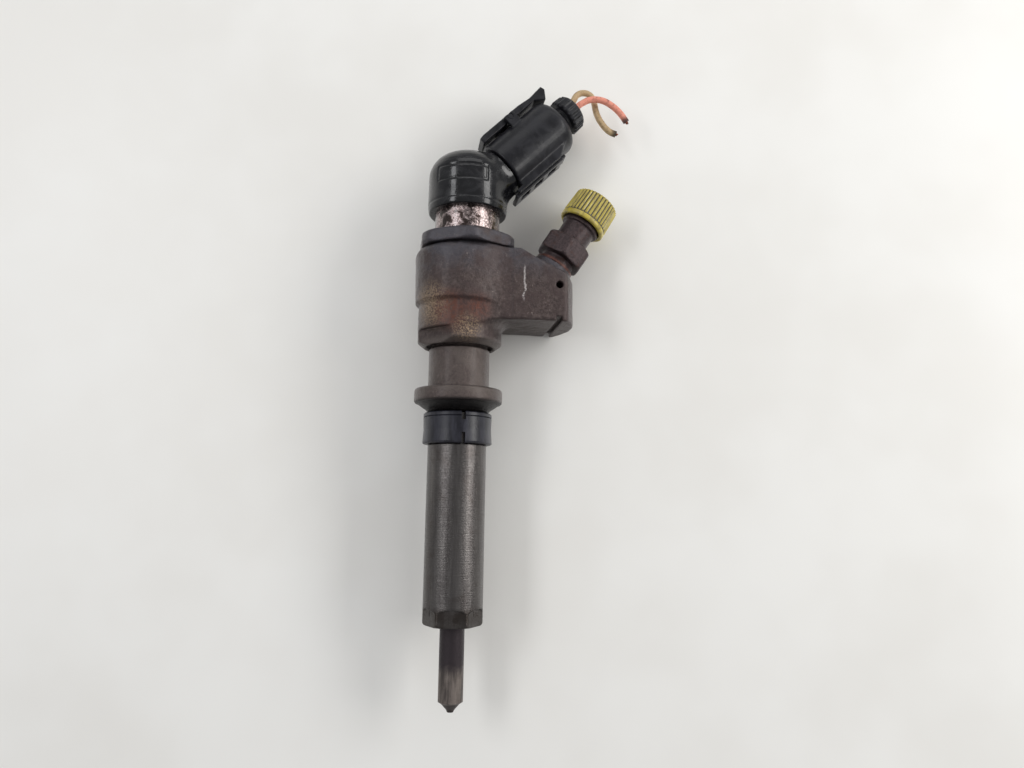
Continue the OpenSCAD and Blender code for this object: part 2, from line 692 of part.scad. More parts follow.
module dust_cap() {
    rim = 19.6;
    top = 29.3;
    color([0.62, 0.57, 0.17]) on_inlet() difference() {
        union() {
            rotate_extrude($fn = 96) polygon(concat(
                [[0, rim], [7.45, rim], [7.45, rim + 1.4], [7.15, rim + 1.7]],
                arc(6, top - 0.8, 0.8, 0, 90, 3),
                [[0, top]]));
            for (i = [0 : dust_ribs - 1])
                rotate([0, 0, 360 * i / dust_ribs]) translate([6, 0, rim + 1.5])
                    rotate([0, -2.6, 0]) translate([1.05, -0.26, 0])
                        cube([0.36, 0.52, top - rim - 2.1]);
        }
        translate([0, 0, rim - 1]) cylinder(r = 6.1, h = 9.6);
    }
}

injector_body();
nozzle_nut();
nozzle_body();
locating_sleeve();
actuator_nut();
actuator_housing();
connector_cap();
plug_housing();
plug_latch();
plug_lock();
wire_collar();
wire_pink();
wire_beige();
inlet_washer();
inlet_fitting();
edge_filter();
dust_cap();
nozzle_needle();
control_piston();
spring_seat();
needle_spring();
spring_shim();
adapter_plate();
dowel_pins();
orifice_plate();
valve_body();
servo_valve();
valve_piston();
valve_spring();
lever_ring();
lever_arm_side();
lever_far_side();
drive_plate();
piezo_stack();
tube_spring();
head_plate();
actuator_o_ring();
contact_pins();
plug_terminals();
plug_seal();
wire_seal();
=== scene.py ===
import json
from math import cos, pi, radians, sin, tan

import bpy
import numpy as np
from mathutils import Matrix, Vector


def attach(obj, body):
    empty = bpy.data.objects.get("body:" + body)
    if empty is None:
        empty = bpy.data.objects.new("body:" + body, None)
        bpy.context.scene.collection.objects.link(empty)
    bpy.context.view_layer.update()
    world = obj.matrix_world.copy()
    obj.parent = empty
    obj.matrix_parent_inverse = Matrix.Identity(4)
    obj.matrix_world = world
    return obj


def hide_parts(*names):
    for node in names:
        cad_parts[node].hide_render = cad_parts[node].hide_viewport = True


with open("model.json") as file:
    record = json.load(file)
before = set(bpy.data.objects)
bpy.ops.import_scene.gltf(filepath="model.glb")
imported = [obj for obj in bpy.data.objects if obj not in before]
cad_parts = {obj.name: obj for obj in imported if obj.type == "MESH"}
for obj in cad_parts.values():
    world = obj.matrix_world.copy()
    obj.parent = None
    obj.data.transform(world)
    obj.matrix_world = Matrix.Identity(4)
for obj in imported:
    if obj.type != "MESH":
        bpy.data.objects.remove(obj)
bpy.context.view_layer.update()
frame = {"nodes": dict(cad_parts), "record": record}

MM = 0.001

# ---- frames of the pieces, in millimetres --------------------------------------------
# The row frame is the one shared with the CAD: Z runs up the nozzle, X towards the arm.
ACTUATOR_X = 1.4                 # the actuator's axis stands off the nozzle's
PLUG_Z, PLUG_LEAN = 125.3, radians(45)
INLET_X, INLET_Z, INLET_LEAN = 26.3, 103, radians(32.5)
NUT_TURN = 264                   # where one flat of the retaining nut faces, degrees
LATCH_X, LATCH_Z = -10.1, 27     # the latch's pivot, in the plug's frame
LANE_X, LANE_Y = -0.5, 1.9       # the two wires' lanes through the plug, in its frame
DUST_CAP_TAPER = 0.045           # how much the knurled barrel's radius falls per millimetre
TO_ACTUATOR = Matrix.Translation((ACTUATOR_X, 0, 0))
TO_PLUG = Matrix.Translation((ACTUATOR_X, 0, PLUG_Z)) @ Matrix.Rotation(PLUG_LEAN, 4, "Y")
TO_INLET = Matrix.Translation((INLET_X, 0, INLET_Z)) @ Matrix.Rotation(INLET_LEAN, 4, "Y")

# ---- camera --------------------------------------------------------------------------
# The injector lies on a table and the camera looks at it from the front, a little from below.
TABLE_TURN = radians(8)          # the hexagon and the arm's end rest on the table
CAMERA_SPOT = Vector((-15.63, -224.41, 34.1))
CAMERA_PITCH, CAMERA_ROLL = radians(8.8), radians(0.88)


def photo_camera():
    pitch, roll = CAMERA_PITCH, CAMERA_ROLL
    data = bpy.data.cameras.new("camera")
    data.sensor_width = 36
    data.lens = 27.07
    data.clip_start = 0.01
    data.clip_end = 20
    camera = bpy.data.objects.new("camera", data)
    bpy.context.scene.collection.objects.link(camera)
    forward = Vector((sin(TABLE_TURN) * cos(pitch), cos(TABLE_TURN) * cos(pitch), sin(pitch)))
    level = Vector((cos(TABLE_TURN), -sin(TABLE_TURN), 0))
    upright = level.cross(forward)
    right = level * cos(roll) + upright * sin(roll)
    up = upright * cos(roll) - level * sin(roll)
    facing = Matrix((right, up, -forward)).transposed().to_4x4()
    camera.matrix_world = Matrix.Translation(CAMERA_SPOT * MM) @ facing
    bpy.context.scene.camera = camera


photo_camera()

# ---- materials -----------------------------------------------------------------------


class Paint:
    """A procedural material, in millimetres of the row frame or of a leaning piece's own."""

    def __init__(self, name, own_frame=None, **sockets):
        self.material = bpy.data.materials.new(name)
        self.material.use_nodes = True
        self.tree = self.material.node_tree
        self.shader = self.tree.nodes["Principled BSDF"]
        for socket, value in sockets.items():
            self.shader.inputs[socket.replace("_", " ")].default_value = value
        where = self.add("ShaderNodeTexCoord").outputs["Object"]
        self.place = self.vector("SCALE", where, scale=1000)
        if own_frame is not None:
            centre = own_frame.to_translation()
            angle = own_frame.to_euler("XYZ").y
            moved = self.vector("SUBTRACT", self.place, centre)
            turn = self.add("ShaderNodeVectorRotate")
            turn.rotation_type = "Y_AXIS"
            self.tree.links.new(moved, turn.inputs["Vector"])
            turn.inputs["Angle"].default_value = -angle
            self.place = turn.outputs[0]
        split = self.add("ShaderNodeSeparateXYZ")
        self.tree.links.new(self.place, split.inputs[0])
        self.x, self.y, self.z = split.outputs

    def add(self, kind):
        return self.tree.nodes.new(kind)

    def join(self, value, socket):
        if isinstance(value, bpy.types.NodeSocket):
            self.tree.links.new(value, socket)
        else:
            socket.default_value = value

    def vector(self, operation, a, b=None, scale=None):
        node = self.add("ShaderNodeVectorMath")
        node.operation = operation
        self.join(a, node.inputs[0])
        if b is not None:
            self.join(b, node.inputs[1])
        if scale is not None:
            node.inputs["Scale"].default_value = scale
        return node.outputs["Value" if operation in ("DISTANCE", "LENGTH") else 0]

    def sum(self, operation, a, b=0.0):
        node = self.add("ShaderNodeMath")
        node.operation = operation
        self.join(a, node.inputs[0])
        self.join(b, node.inputs[1])
        return node.outputs[0]

    def noise(self, size, stretch=(1, 1, 1), detail=4, rough=0.6, twist=0.0):
        """Noise with blots of about size millimetres, longer along an axis of small stretch."""
        node = self.add("ShaderNodeTexNoise")
        self.join(self.vector("MULTIPLY", self.place, stretch), node.inputs["Vector"])
        node.inputs["Scale"].default_value = 1 / size
        node.inputs["Detail"].default_value = detail
        node.inputs["Roughness"].default_value = rough
        node.inputs["Distortion"].default_value = twist
        return node.outputs[0]

    def step(self, value, low, high, to_low=0.0, to_high=1.0):
        node = self.add("ShaderNodeMapRange")
        node.interpolation_type = "SMOOTHSTEP"
        for socket, number in zip(node.inputs[:5], (value, low, high, to_low, to_high)):
            self.join(number, socket)
        return node.outputs[0]

    def near(self, point, inner, outer):
        """1 within inner millimetres of a point, falling to 0 at outer."""
        return self.step(self.vector("DISTANCE", self.place, point), inner, outer, 1.0, 0.0)

    def mix(self, share, a, b):
        node = self.add("ShaderNodeMix")
        node.data_type = "RGBA"
        self.join(share, node.inputs[0])
        for value, socket in ((a, node.inputs[6]), (b, node.inputs[7])):
            self.join(value if isinstance(value, bpy.types.NodeSocket) else (*value, 1), socket)
        return node.outputs[2]

    def finish(self, colour, roughness=None, bumps=()):
        self.tree.links.new(colour, self.shader.inputs["Base Color"])
        if roughness is not None:
            self.tree.links.new(roughness, self.shader.inputs["Roughness"])
        normal = None
        for height, depth in bumps:
            node = self.add("ShaderNodeBump")
            node.inputs["Distance"].default_value = depth * MM
            self.tree.links.new(height, node.inputs["Height"])
            if normal is not None:
                self.tree.links.new(normal, node.inputs["Normal"])
            normal = node.outputs[0]
        if normal is not None:
            self.tree.links.new(normal, self.shader.inputs["Normal"])
        return self.material


def forged_steel():
    p = Paint("forged_steel", Metallic=0.75, Coat_Weight=0.12, Coat_Roughness=0.28)
    blots = p.noise(9, detail=7, rough=0.65, twist=0.8)
    grain = p.noise(0.9, detail=6, rough=0.75)
    speck = p.noise(0.4, detail=3, rough=0.8)
    colour = p.mix(p.step(grain, 0.32, 0.72), (0.034, 0.024, 0.023), (0.088, 0.066, 0.061))
    colour = p.mix(p.step(blots, 0.44, 0.62, 0, 0.7), colour, (0.046, 0.031, 0.030))
    high = p.sum("MULTIPLY", p.step(p.z, 97, 106), p.step(blots, 0.40, 0.62, 0.75, 0.1))
    colour = p.mix(high, colour, (0.060, 0.060, 0.072))
    worn = p.sum("MULTIPLY", p.step(speck, 0.60, 0.70), p.step(grain, 0.50, 0.66))
    colour = p.mix(worn, colour, (0.380, 0.320, 0.290))
    low = p.sum("MULTIPLY", p.step(p.z, 60, 66), p.step(p.z, 79.5, 82, 1, 0))
    colour = p.mix(p.sum("MULTIPLY", low, p.step(blots, 0.36, 0.66, 0.2, 0.75)), colour,
                   (0.112, 0.094, 0.084))
    # painted highlight: warm golden glints on the left of the step and in front below it
    painted_glint = p.sum("MULTIPLY", p.near((-9.5, -9, 90), 1, 9), p.step(speck, 0.42, 0.62))
    painted_glint = p.sum("MAXIMUM", painted_glint, p.sum("MULTIPLY", p.near((1, -12, 83), 1, 6),
                                            p.step(speck, 0.46, 0.64)))
    colour = p.mix(painted_glint, colour, (0.330, 0.235, 0.150))
    # a pale scratch down the front of the arm
    beside = p.sum("ADD", p.x, p.sum("MULTIPLY", blots, 3.0))
    scratch = p.sum("MULTIPLY", p.step(p.sum("ABSOLUTE", p.sum("SUBTRACT", beside, 19.1)),
                                       0.10, 0.38, 1, 0), p.step(speck, 0.38, 0.52))
    height = p.sum("MULTIPLY", p.step(p.z, 91.5, 93.5), p.step(p.z, 101, 103, 1, 0))
    front = p.sum("MULTIPLY", p.step(p.y, -10.4, -10.9), height)
    colour = p.mix(p.sum("MULTIPLY", scratch, front), colour, (0.36, 0.33, 0.32))
    # rust at the step, front and rear, then nearly black under the flange
    rust = p.sum("MAXIMUM", p.near((-4, -12.5, 88), 1.5, 8), p.near((4, -12, 89), 0.5, 6))
    rust = p.sum("MAXIMUM", rust, p.near((-4, 12, 90), 2, 8))
    rust = p.sum("MULTIPLY", rust, p.step(grain, 0.36, 0.62, 0.15, 0.85))
    colour = p.mix(rust, colour, (0.105, 0.034, 0.020))
    under_flange_dark = p.sum("MULTIPLY", p.step(p.z, 62.2, 63.6, 1, 0), p.step(grain, 0.3, 0.5, 0.7, 1))
    colour = p.mix(under_flange_dark, colour, (0.008, 0.007, 0.007))
    rough = p.step(p.sum("ADD", speck, p.sum("MULTIPLY", grain, 0.6)), 0.5, 1.1, 0.28, 0.54)
    return p.finish(colour, rough, [(grain, 0.22), (speck, 0.10)])


def nut_steel():
    p = Paint("nut_steel", Metallic=1.0)
    rings = p.noise(1.2, stretch=(0.12, 0.12, 6), detail=3)
    smear = p.noise(2.2, stretch=(1, 1, 0.07), detail=5, rough=0.7)
    blots = p.noise(5, detail=6, twist=0.5)
    grain = p.noise(0.5, detail=3, rough=0.8)
    colour = p.mix(p.step(smear, 0.35, 0.65), (0.072, 0.066, 0.064), (0.118, 0.110, 0.106))
    colour = p.mix(p.step(blots, 0.5, 0.72, 0, 0.6), colour, (0.066, 0.056, 0.052))
    foot = p.sum("MULTIPLY", p.step(p.z, 3.6, 6.0, 1, 0), p.step(blots, 0.35, 0.6, 0.5, 1))
    colour = p.mix(foot, colour, (0.045, 0.038, 0.034))
    rough = p.step(p.sum("ADD", rings, p.sum("MULTIPLY", grain, 0.7)), 0.6, 1.1, 0.26, 0.38)
    return p.finish(colour, rough, [(rings, 0.05), (grain, 0.05)])


def nozzle_steel():
    p = Paint("nozzle_steel", Metallic=0.75)
    blots = p.noise(3, detail=6, twist=0.8)
    streak = p.noise(1.5, stretch=(1, 1, 0.12), detail=5, rough=0.7)
    grain = p.noise(0.4, detail=4, rough=0.8)
    soot = p.sum("ADD", p.sum("MULTIPLY", blots, 4), p.z)
    colour = p.mix(p.step(streak, 0.35, 0.65), (0.060, 0.050, 0.046), (0.175, 0.148, 0.132))
    colour = p.mix(p.step(soot, -11.5, -8), colour, (0.034, 0.027, 0.030))
    colour = p.mix(p.step(p.z, -21.3, -20.2, 0.75, 0), colour, (0.035, 0.03, 0.03))
    return p.finish(colour, p.step(grain, 0.3, 0.7, 0.38, 0.62), [(blots, 0.10), (grain, 0.09)])


def actuator_steel():
    p = Paint("actuator_steel", Metallic=1.0, Coat_Weight=0.5, Coat_Roughness=0.08)
    blots = p.noise(2.6, detail=7, rough=0.65, twist=0.7)
    grain = p.noise(0.6, detail=5, rough=0.8)
    colour = p.mix(p.step(grain, 0.38, 0.62), (0.12, 0.085, 0.080), (0.46, 0.38, 0.37))
    colour = p.mix(p.step(blots, 0.46, 0.58), colour, (0.030, 0.019, 0.016))
    # darker towards the bottom, below z 114, next to the hexagon nut
    wet = p.step(p.z, 114.0, 113.0, 0.0, 0.7)
    colour = p.mix(wet, colour, (0.030, 0.022, 0.022))
    return p.finish(colour, p.step(grain, 0.35, 0.7, 0.14, 0.36), [(blots, 0.10), (grain, 0.10)])


def bright_steel(name, tint, roughest):
    p = Paint(name, Metallic=1.0)
    rings = p.noise(0.8, stretch=(0.15, 0.15, 5), detail=3)
    blots = p.noise(3, detail=5)
    colour = p.mix(p.step(blots, 0.35, 0.65), [0.7 * c for c in tint], tint)
    return p.finish(colour, p.step(rings, 0.3, 0.7, roughest - 0.15, roughest), [(rings, 0.03)])


def moulded(name, own_frame, tint, wet, gloss):
    """Black moulded plastic with oily smears and pale dust."""
    p = Paint(name, own_frame, Coat_Weight=wet, Coat_Roughness=0.04, Specular_IOR_Level=0.22)
    film = p.noise(5, detail=6, twist=0.9)
    grain = p.noise(0.35, detail=2, rough=0.7)
    dust = p.noise(0.9, detail=7, rough=0.75)
    colour = p.mix(p.step(film, 0.40, 0.65), tint, [1.7 * c + 0.002 for c in tint])
    colour = p.mix(p.step(dust, 0.64, 0.78, 0, 0.3), colour, (0.10, 0.09, 0.08))
    rough = p.step(film, 0.38, 0.64, gloss, gloss + 0.22)
    return p.finish(colour, rough, [(film, 0.12), (grain, 0.02)])


def sleeve_plastic():
    p = Paint("sleeve_plastic", Coat_Weight=0.05, Coat_Roughness=0.3, Specular_IOR_Level=0.3)
    smear = p.noise(2.4, stretch=(1, 1, 0.2), detail=6, rough=0.7)
    grain = p.noise(0.4, detail=3)
    colour = p.mix(p.step(smear, 0.38, 0.68), (0.007, 0.007, 0.011), (0.024, 0.024, 0.034))
    return p.finish(colour, p.step(smear, 0.3, 0.7, 0.26, 0.46), [(smear, 0.06), (grain, 0.03)])


def wire_rubber(name, tint, dirty, cut_at):
    p = Paint(name, TO_PLUG, Subsurface_Weight=0.08)
    p.shader.inputs["Subsurface Radius"].default_value = (0.002, 0.001, 0.001)
    grime = p.noise(1.6, detail=7, rough=0.75, twist=0.8)
    grain = p.noise(0.3, detail=3)
    colour = p.mix(p.step(grime, 0.50, 0.66), tint, dirty)
    colour = p.mix(p.step(grain, 0.55, 0.7, 0, 0.35), colour, [0.45 * c for c in dirty])
    colour = p.mix(p.near(cut_at, 0.9, 2.4), colour, [0.22 * c for c in dirty])
    return p.finish(colour, p.step(grime, 0.3, 0.7, 0.45, 0.7), [(grime, 0.10), (grain, 0.04)])


def fitting_steel(name, tint):
    p = Paint(name, TO_INLET, Metallic=0.7, Coat_Weight=0.1, Coat_Roughness=0.3)
    blots = p.noise(3.2, detail=7, rough=0.7, twist=0.7)
    grain = p.noise(0.6, detail=5, rough=0.75)
    colour = p.mix(p.step(grain, 0.35, 0.68), [0.45 * c for c in tint], [1.5 * c for c in tint])
    colour = p.mix(p.step(blots, 0.52, 0.66), colour, (0.045, 0.022, 0.018))
    return p.finish(colour, p.step(grain, 0.3, 0.7, 0.36, 0.62), [(blots, 0.12), (grain, 0.14)])


def dust_cap_plastic():
    p = Paint("dust_cap_plastic", TO_INLET, Coat_Weight=0.25, Coat_Roughness=0.2)
    across = p.vector("MULTIPLY", p.place, (1, 1, 0))
    radius = p.vector("LENGTH", across)
    grime = p.noise(1.8, stretch=(1, 1, 0.4), detail=7, rough=0.75, twist=0.6)
    grain = p.noise(0.4, detail=3)
    colour = p.mix(p.step(grime, 0.38, 0.66), (0.46, 0.37, 0.050), (0.26, 0.20, 0.040))
    colour = p.mix(p.step(grain, 0.55, 0.75, 0, 0.5), colour, (0.60, 0.52, 0.17))
    taper = p.sum("MULTIPLY", p.sum("SUBTRACT", p.z, 21.8), DUST_CAP_TAPER)
    ridge = p.sum("ADD", p.sum("ADD", radius, taper), p.sum("MULTIPLY", grime, 0.3))
    blackened = p.step(ridge, 7.22, 7.34, 1, 0)
    barrel = p.sum("MULTIPLY", p.step(p.z, 21.0, 21.4), p.step(p.z, 28.7, 29.0, 1, 0))
    colour = p.mix(p.sum("MULTIPLY", blackened, barrel), colour, (0.014, 0.013, 0.010))
    lip = p.sum("MULTIPLY", p.step(p.z, 21.2, 21.5, 1, 0), p.step(p.z, 20.9, 21.1))
    colour = p.mix(lip, colour, (0.020, 0.018, 0.012))
    spots = p.sum("MULTIPLY", p.step(p.noise(1.3, detail=5, rough=0.7), 0.62, 0.70), 0.9)
    colour = p.mix(spots, colour, (0.030, 0.020, 0.014))
    return p.finish(colour, p.step(grime, 0.3, 0.7, 0.32, 0.55), [(grime, 0.08), (grain, 0.03)])


def soft_part(name, tint):
    p = Paint(name)
    blots = p.noise(1.5, detail=6)
    grain = p.noise(0.3, detail=3)
    colour = p.mix(p.step(blots, 0.35, 0.65), [0.7 * c for c in tint], tint)
    return p.finish(colour, p.step(blots, 0.3, 0.7, 0.5, 0.75), [(grain, 0.05)])


def copper_strand():
    p = Paint("copper_strand", TO_PLUG, Metallic=1.0)
    tarnish = p.noise(0.5, detail=5)
    colour = p.mix(p.step(tarnish, 0.4, 0.6), (0.40, 0.12, 0.07), (0.10, 0.035, 0.025))
    return p.finish(colour, p.step(tarnish, 0.3, 0.7, 0.3, 0.55), [(tarnish, 0.03)])


paints = {
    "forged_steel": forged_steel(),
    "nut_steel": nut_steel(),
    "nozzle_steel": nozzle_steel(),
    "actuator_steel": actuator_steel(),
    "hardened_steel": bright_steel("hardened_steel", (0.55, 0.55, 0.57), 0.35),
    "spring_steel": bright_steel("spring_steel", (0.45, 0.44, 0.43), 0.45),
    "sleeve_plastic": sleeve_plastic(),
    "cap_plastic": moulded("cap_plastic", None, (0.004, 0.004, 0.005), 0.30, 0.12),
    "plug_plastic": moulded("plug_plastic", TO_PLUG, (0.008, 0.008, 0.010), 0.06, 0.28),
    "washer_metal": fitting_steel("washer_metal", (0.085, 0.034, 0.026)),
    "fitting_steel": fitting_steel("fitting_steel", (0.052, 0.036, 0.037)),
    "dust_cap_plastic": dust_cap_plastic(),
    "piezo_ceramic": soft_part("piezo_ceramic", (0.50, 0.45, 0.30)),
    "seal_rubber": soft_part("seal_rubber", (0.25, 0.08, 0.03)),
    "contact_metal": bright_steel("contact_metal", (0.72, 0.55, 0.20), 0.40),
}

# ---- solids as distance fields, in millimetres ---------------------------------------


class Space:
    """A regular grid of points, in the row frame or in a leaning piece's own frame."""

    def __init__(self, low, high, step, to_row=None):
        self.low, self.step = np.array(low, float), step
        self.count = [int((b - a) / step) + 2 for a, b in zip(low, high)]
        axes = [a + step * np.arange(n) for a, n in zip(low, self.count)]
        self.x, self.y, self.z = np.meshgrid(*axes, indexing="ij", sparse=True)
        self.to_row = to_row or Matrix.Identity(4)

    def noise(self, cell, seed):
        """Smooth noise from -1 to 1 with lumps of about cell millimetres."""
        def weights(n):
            t = np.arange(n) * self.step / cell
            whole = t.astype(int)
            part = t - whole
            part = part * part * (3 - 2 * part)
            table = np.zeros((n, whole[-1] + 2))
            table[np.arange(n), whole] = 1 - part
            table[np.arange(n), whole + 1] = part
            return table
        wx, wy, wz = (weights(n) for n in self.count)
        lumps = np.random.default_rng(seed).uniform(
            -1, 1, (wx.shape[1], wy.shape[1], wz.shape[1]))
        return np.einsum("ai,bj,ck,ijk->abc", wx, wy, wz, lumps, optimize=True)


def outline(points, u, v):
    """Signed distance from (u, v) to a closed outline, negative inside."""
    u, v = np.broadcast_arrays(u, v)
    nearest = np.full(u.shape, 1e9)
    inside = np.zeros(u.shape, bool)
    for (u0, v0), (u1, v1) in zip(points, points[1:] + points[:1]):
        du, dv = u1 - u0, v1 - v0
        if du == 0 and dv == 0:
            continue
        t = np.clip(((u - u0) * du + (v - v0) * dv) / (du * du + dv * dv), 0, 1)
        nearest = np.minimum(nearest, (u - u0 - du * t) ** 2 + (v - v0 - dv * t) ** 2)
        if v0 != v1:
            inside ^= ((v0 <= v) != (v1 <= v)) & (u < u0 + (v - v0) / dv * du)
    return np.where(inside, -np.sqrt(nearest), np.sqrt(nearest))


def turned(points, radius, height):
    """Distance to a solid of revolution, from its half outline, read off a fine table."""
    fine = 0.1
    r = np.arange(0, float(radius.max()) + 0.5, fine)
    h = np.arange(float(height.min()) - 0.2, float(height.max()) + 0.5, fine)
    mirrored = [(-a, b) for a, b in reversed(points)]
    table = outline(points + mirrored, r[:, None], h[None, :])
    radius, height = np.broadcast_arrays(radius / fine, (height - h[0]) / fine)
    i = np.minimum(radius.astype(int), len(r) - 2)
    j = np.minimum(height.astype(int), len(h) - 2)
    a, b = radius - i, height - j
    return ((table[i, j] * (1 - a) + table[i + 1, j] * a) * (1 - b)
            + (table[i, j + 1] * (1 - a) + table[i + 1, j + 1] * a) * b)


def union(a, b, k=0.0):
    if not k:
        return np.minimum(a, b)
    h = np.clip(0.5 + 0.5 * (b - a) / k, 0, 1)
    return b * (1 - h) + a * h - k * h * (1 - h)


def common(a, b, k=0.0):
    return -union(-a, -b, k)


def without(a, b, k=0.0):
    return common(a, -b, k)


def block(s, low, high):
    """Distance to an upright box."""
    centre = [(a + b) / 2 for a, b in zip(low, high)]
    half = [(b - a) / 2 for a, b in zip(low, high)]
    dx, dy, dz = (abs(w - c) - h for w, c, h in zip((s.x, s.y, s.z), centre, half))
    outside = np.sqrt(np.maximum(dx, 0) ** 2 + np.maximum(dy, 0) ** 2 + np.maximum(dz, 0) ** 2)
    return outside + np.minimum(np.maximum(dx, np.maximum(dy, dz)), 0)


def post(radius, along, r, low, high):
    """Distance to a round bar from its radius field and the field along it."""
    return np.maximum(radius - r, np.maximum(low - along, along - high))


def hexagon(s, flats, turn, k=0.5):
    """Distance to an endless hexagonal bar with softened corners."""
    field = None
    for i in range(3):
        a = radians(turn + 30 + 60 * i)
        face = abs(s.x * cos(a) + s.y * sin(a)) - flats / 2
        field = face if field is None else common(field, face, k)
    return field


def leaning(s, x, z, lean):
    """The fields across and along an axis that leans from (x, z) towards X."""
    across = (s.x - x) * cos(lean) - (s.z - z) * sin(lean)
    along = (s.x - x) * sin(lean) + (s.z - z) * cos(lean)
    return across, along


def arc(cx, cy, r, start, end, n):
    turns = [radians(start + (end - start) * i / n) for i in range(n + 1)]
    return [(cx + r * cos(a), cy + r * sin(a)) for a in turns]


def mesh_piece(name, points, faces, body, slot, node):
    mesh = bpy.data.meshes.new(name)
    mesh.from_pydata([tuple(p) for p in points], [], [tuple(f) for f in faces])
    mesh.polygons.foreach_set("use_smooth", [True] * len(mesh.polygons))
    mesh.update()
    piece = bpy.data.objects.new(name, mesh)
    bpy.context.scene.collection.objects.link(piece)
    mesh.materials.append(paints[slot])
    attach(piece, body)
    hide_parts(node)


def skin(name, s, field, body, slot, node):
    """Turns a distance field into a closed mesh of quads: one corner in each cell it crosses."""
    inside = field < 0
    cells_shape = [n - 1 for n in field.shape]
    filled = np.zeros(cells_shape, np.int8)
    corners = [(i, j, k) for i in (0, 1) for j in (0, 1) for k in (0, 1)]
    for i, j, k in corners:
        filled += inside[i:i + cells_shape[0], j:j + cells_shape[1], k:k + cells_shape[2]]
    mixed = (filled > 0) & (filled < 8)
    cells = np.argwhere(mixed)
    number = np.full(cells_shape, -1, np.int64)
    number[mixed] = np.arange(len(cells))
    total, crossed = np.zeros((len(cells), 3)), np.zeros(len(cells))
    for a in corners:
        for axis in range(3):
            if a[axis]:
                continue
            b = tuple(1 if n == axis else a[n] for n in range(3))
            fa = field[cells[:, 0] + a[0], cells[:, 1] + a[1], cells[:, 2] + a[2]]
            fb = field[cells[:, 0] + b[0], cells[:, 1] + b[1], cells[:, 2] + b[2]]
            cuts = (fa < 0) != (fb < 0)
            t = np.where(cuts, fa / np.where(cuts, fa - fb, 1), 0)
            spot = np.array(a, float) + t[:, None] * (np.array(b) - np.array(a))
            total += spot * cuts[:, None]
            crossed += cuts
    points = (cells + total / crossed[:, None]) * s.step + s.low
    quads = []
    for axis in range(3):
        one, two = (axis + 1) % 3, (axis + 2) % 3
        first = np.take(inside, range(field.shape[axis] - 1), axis)
        second = np.take(inside, range(1, field.shape[axis]), axis)
        at = np.argwhere(first != second)
        sides = []
        for shift_one, shift_two in ((1, 1), (0, 1), (0, 0), (1, 0)):
            cell = at.copy()
            cell[:, one] -= shift_one
            cell[:, two] -= shift_two
            sides.append(number[cell[:, 0], cell[:, 1], cell[:, 2]])
        quad = np.stack(sides, 1)
        backward = second[at[:, 0], at[:, 1], at[:, 2]]
        quad[backward] = quad[backward][:, ::-1]
        quads.append(quad)
    turn = np.array(s.to_row)
    points = (points @ turn[:3, :3].T + turn[:3, 3]) * MM
    mesh_piece(name, points.tolist(), np.concatenate(quads).tolist(), body, slot, node)


# ---- forged body ---------------------------------------------------------------------


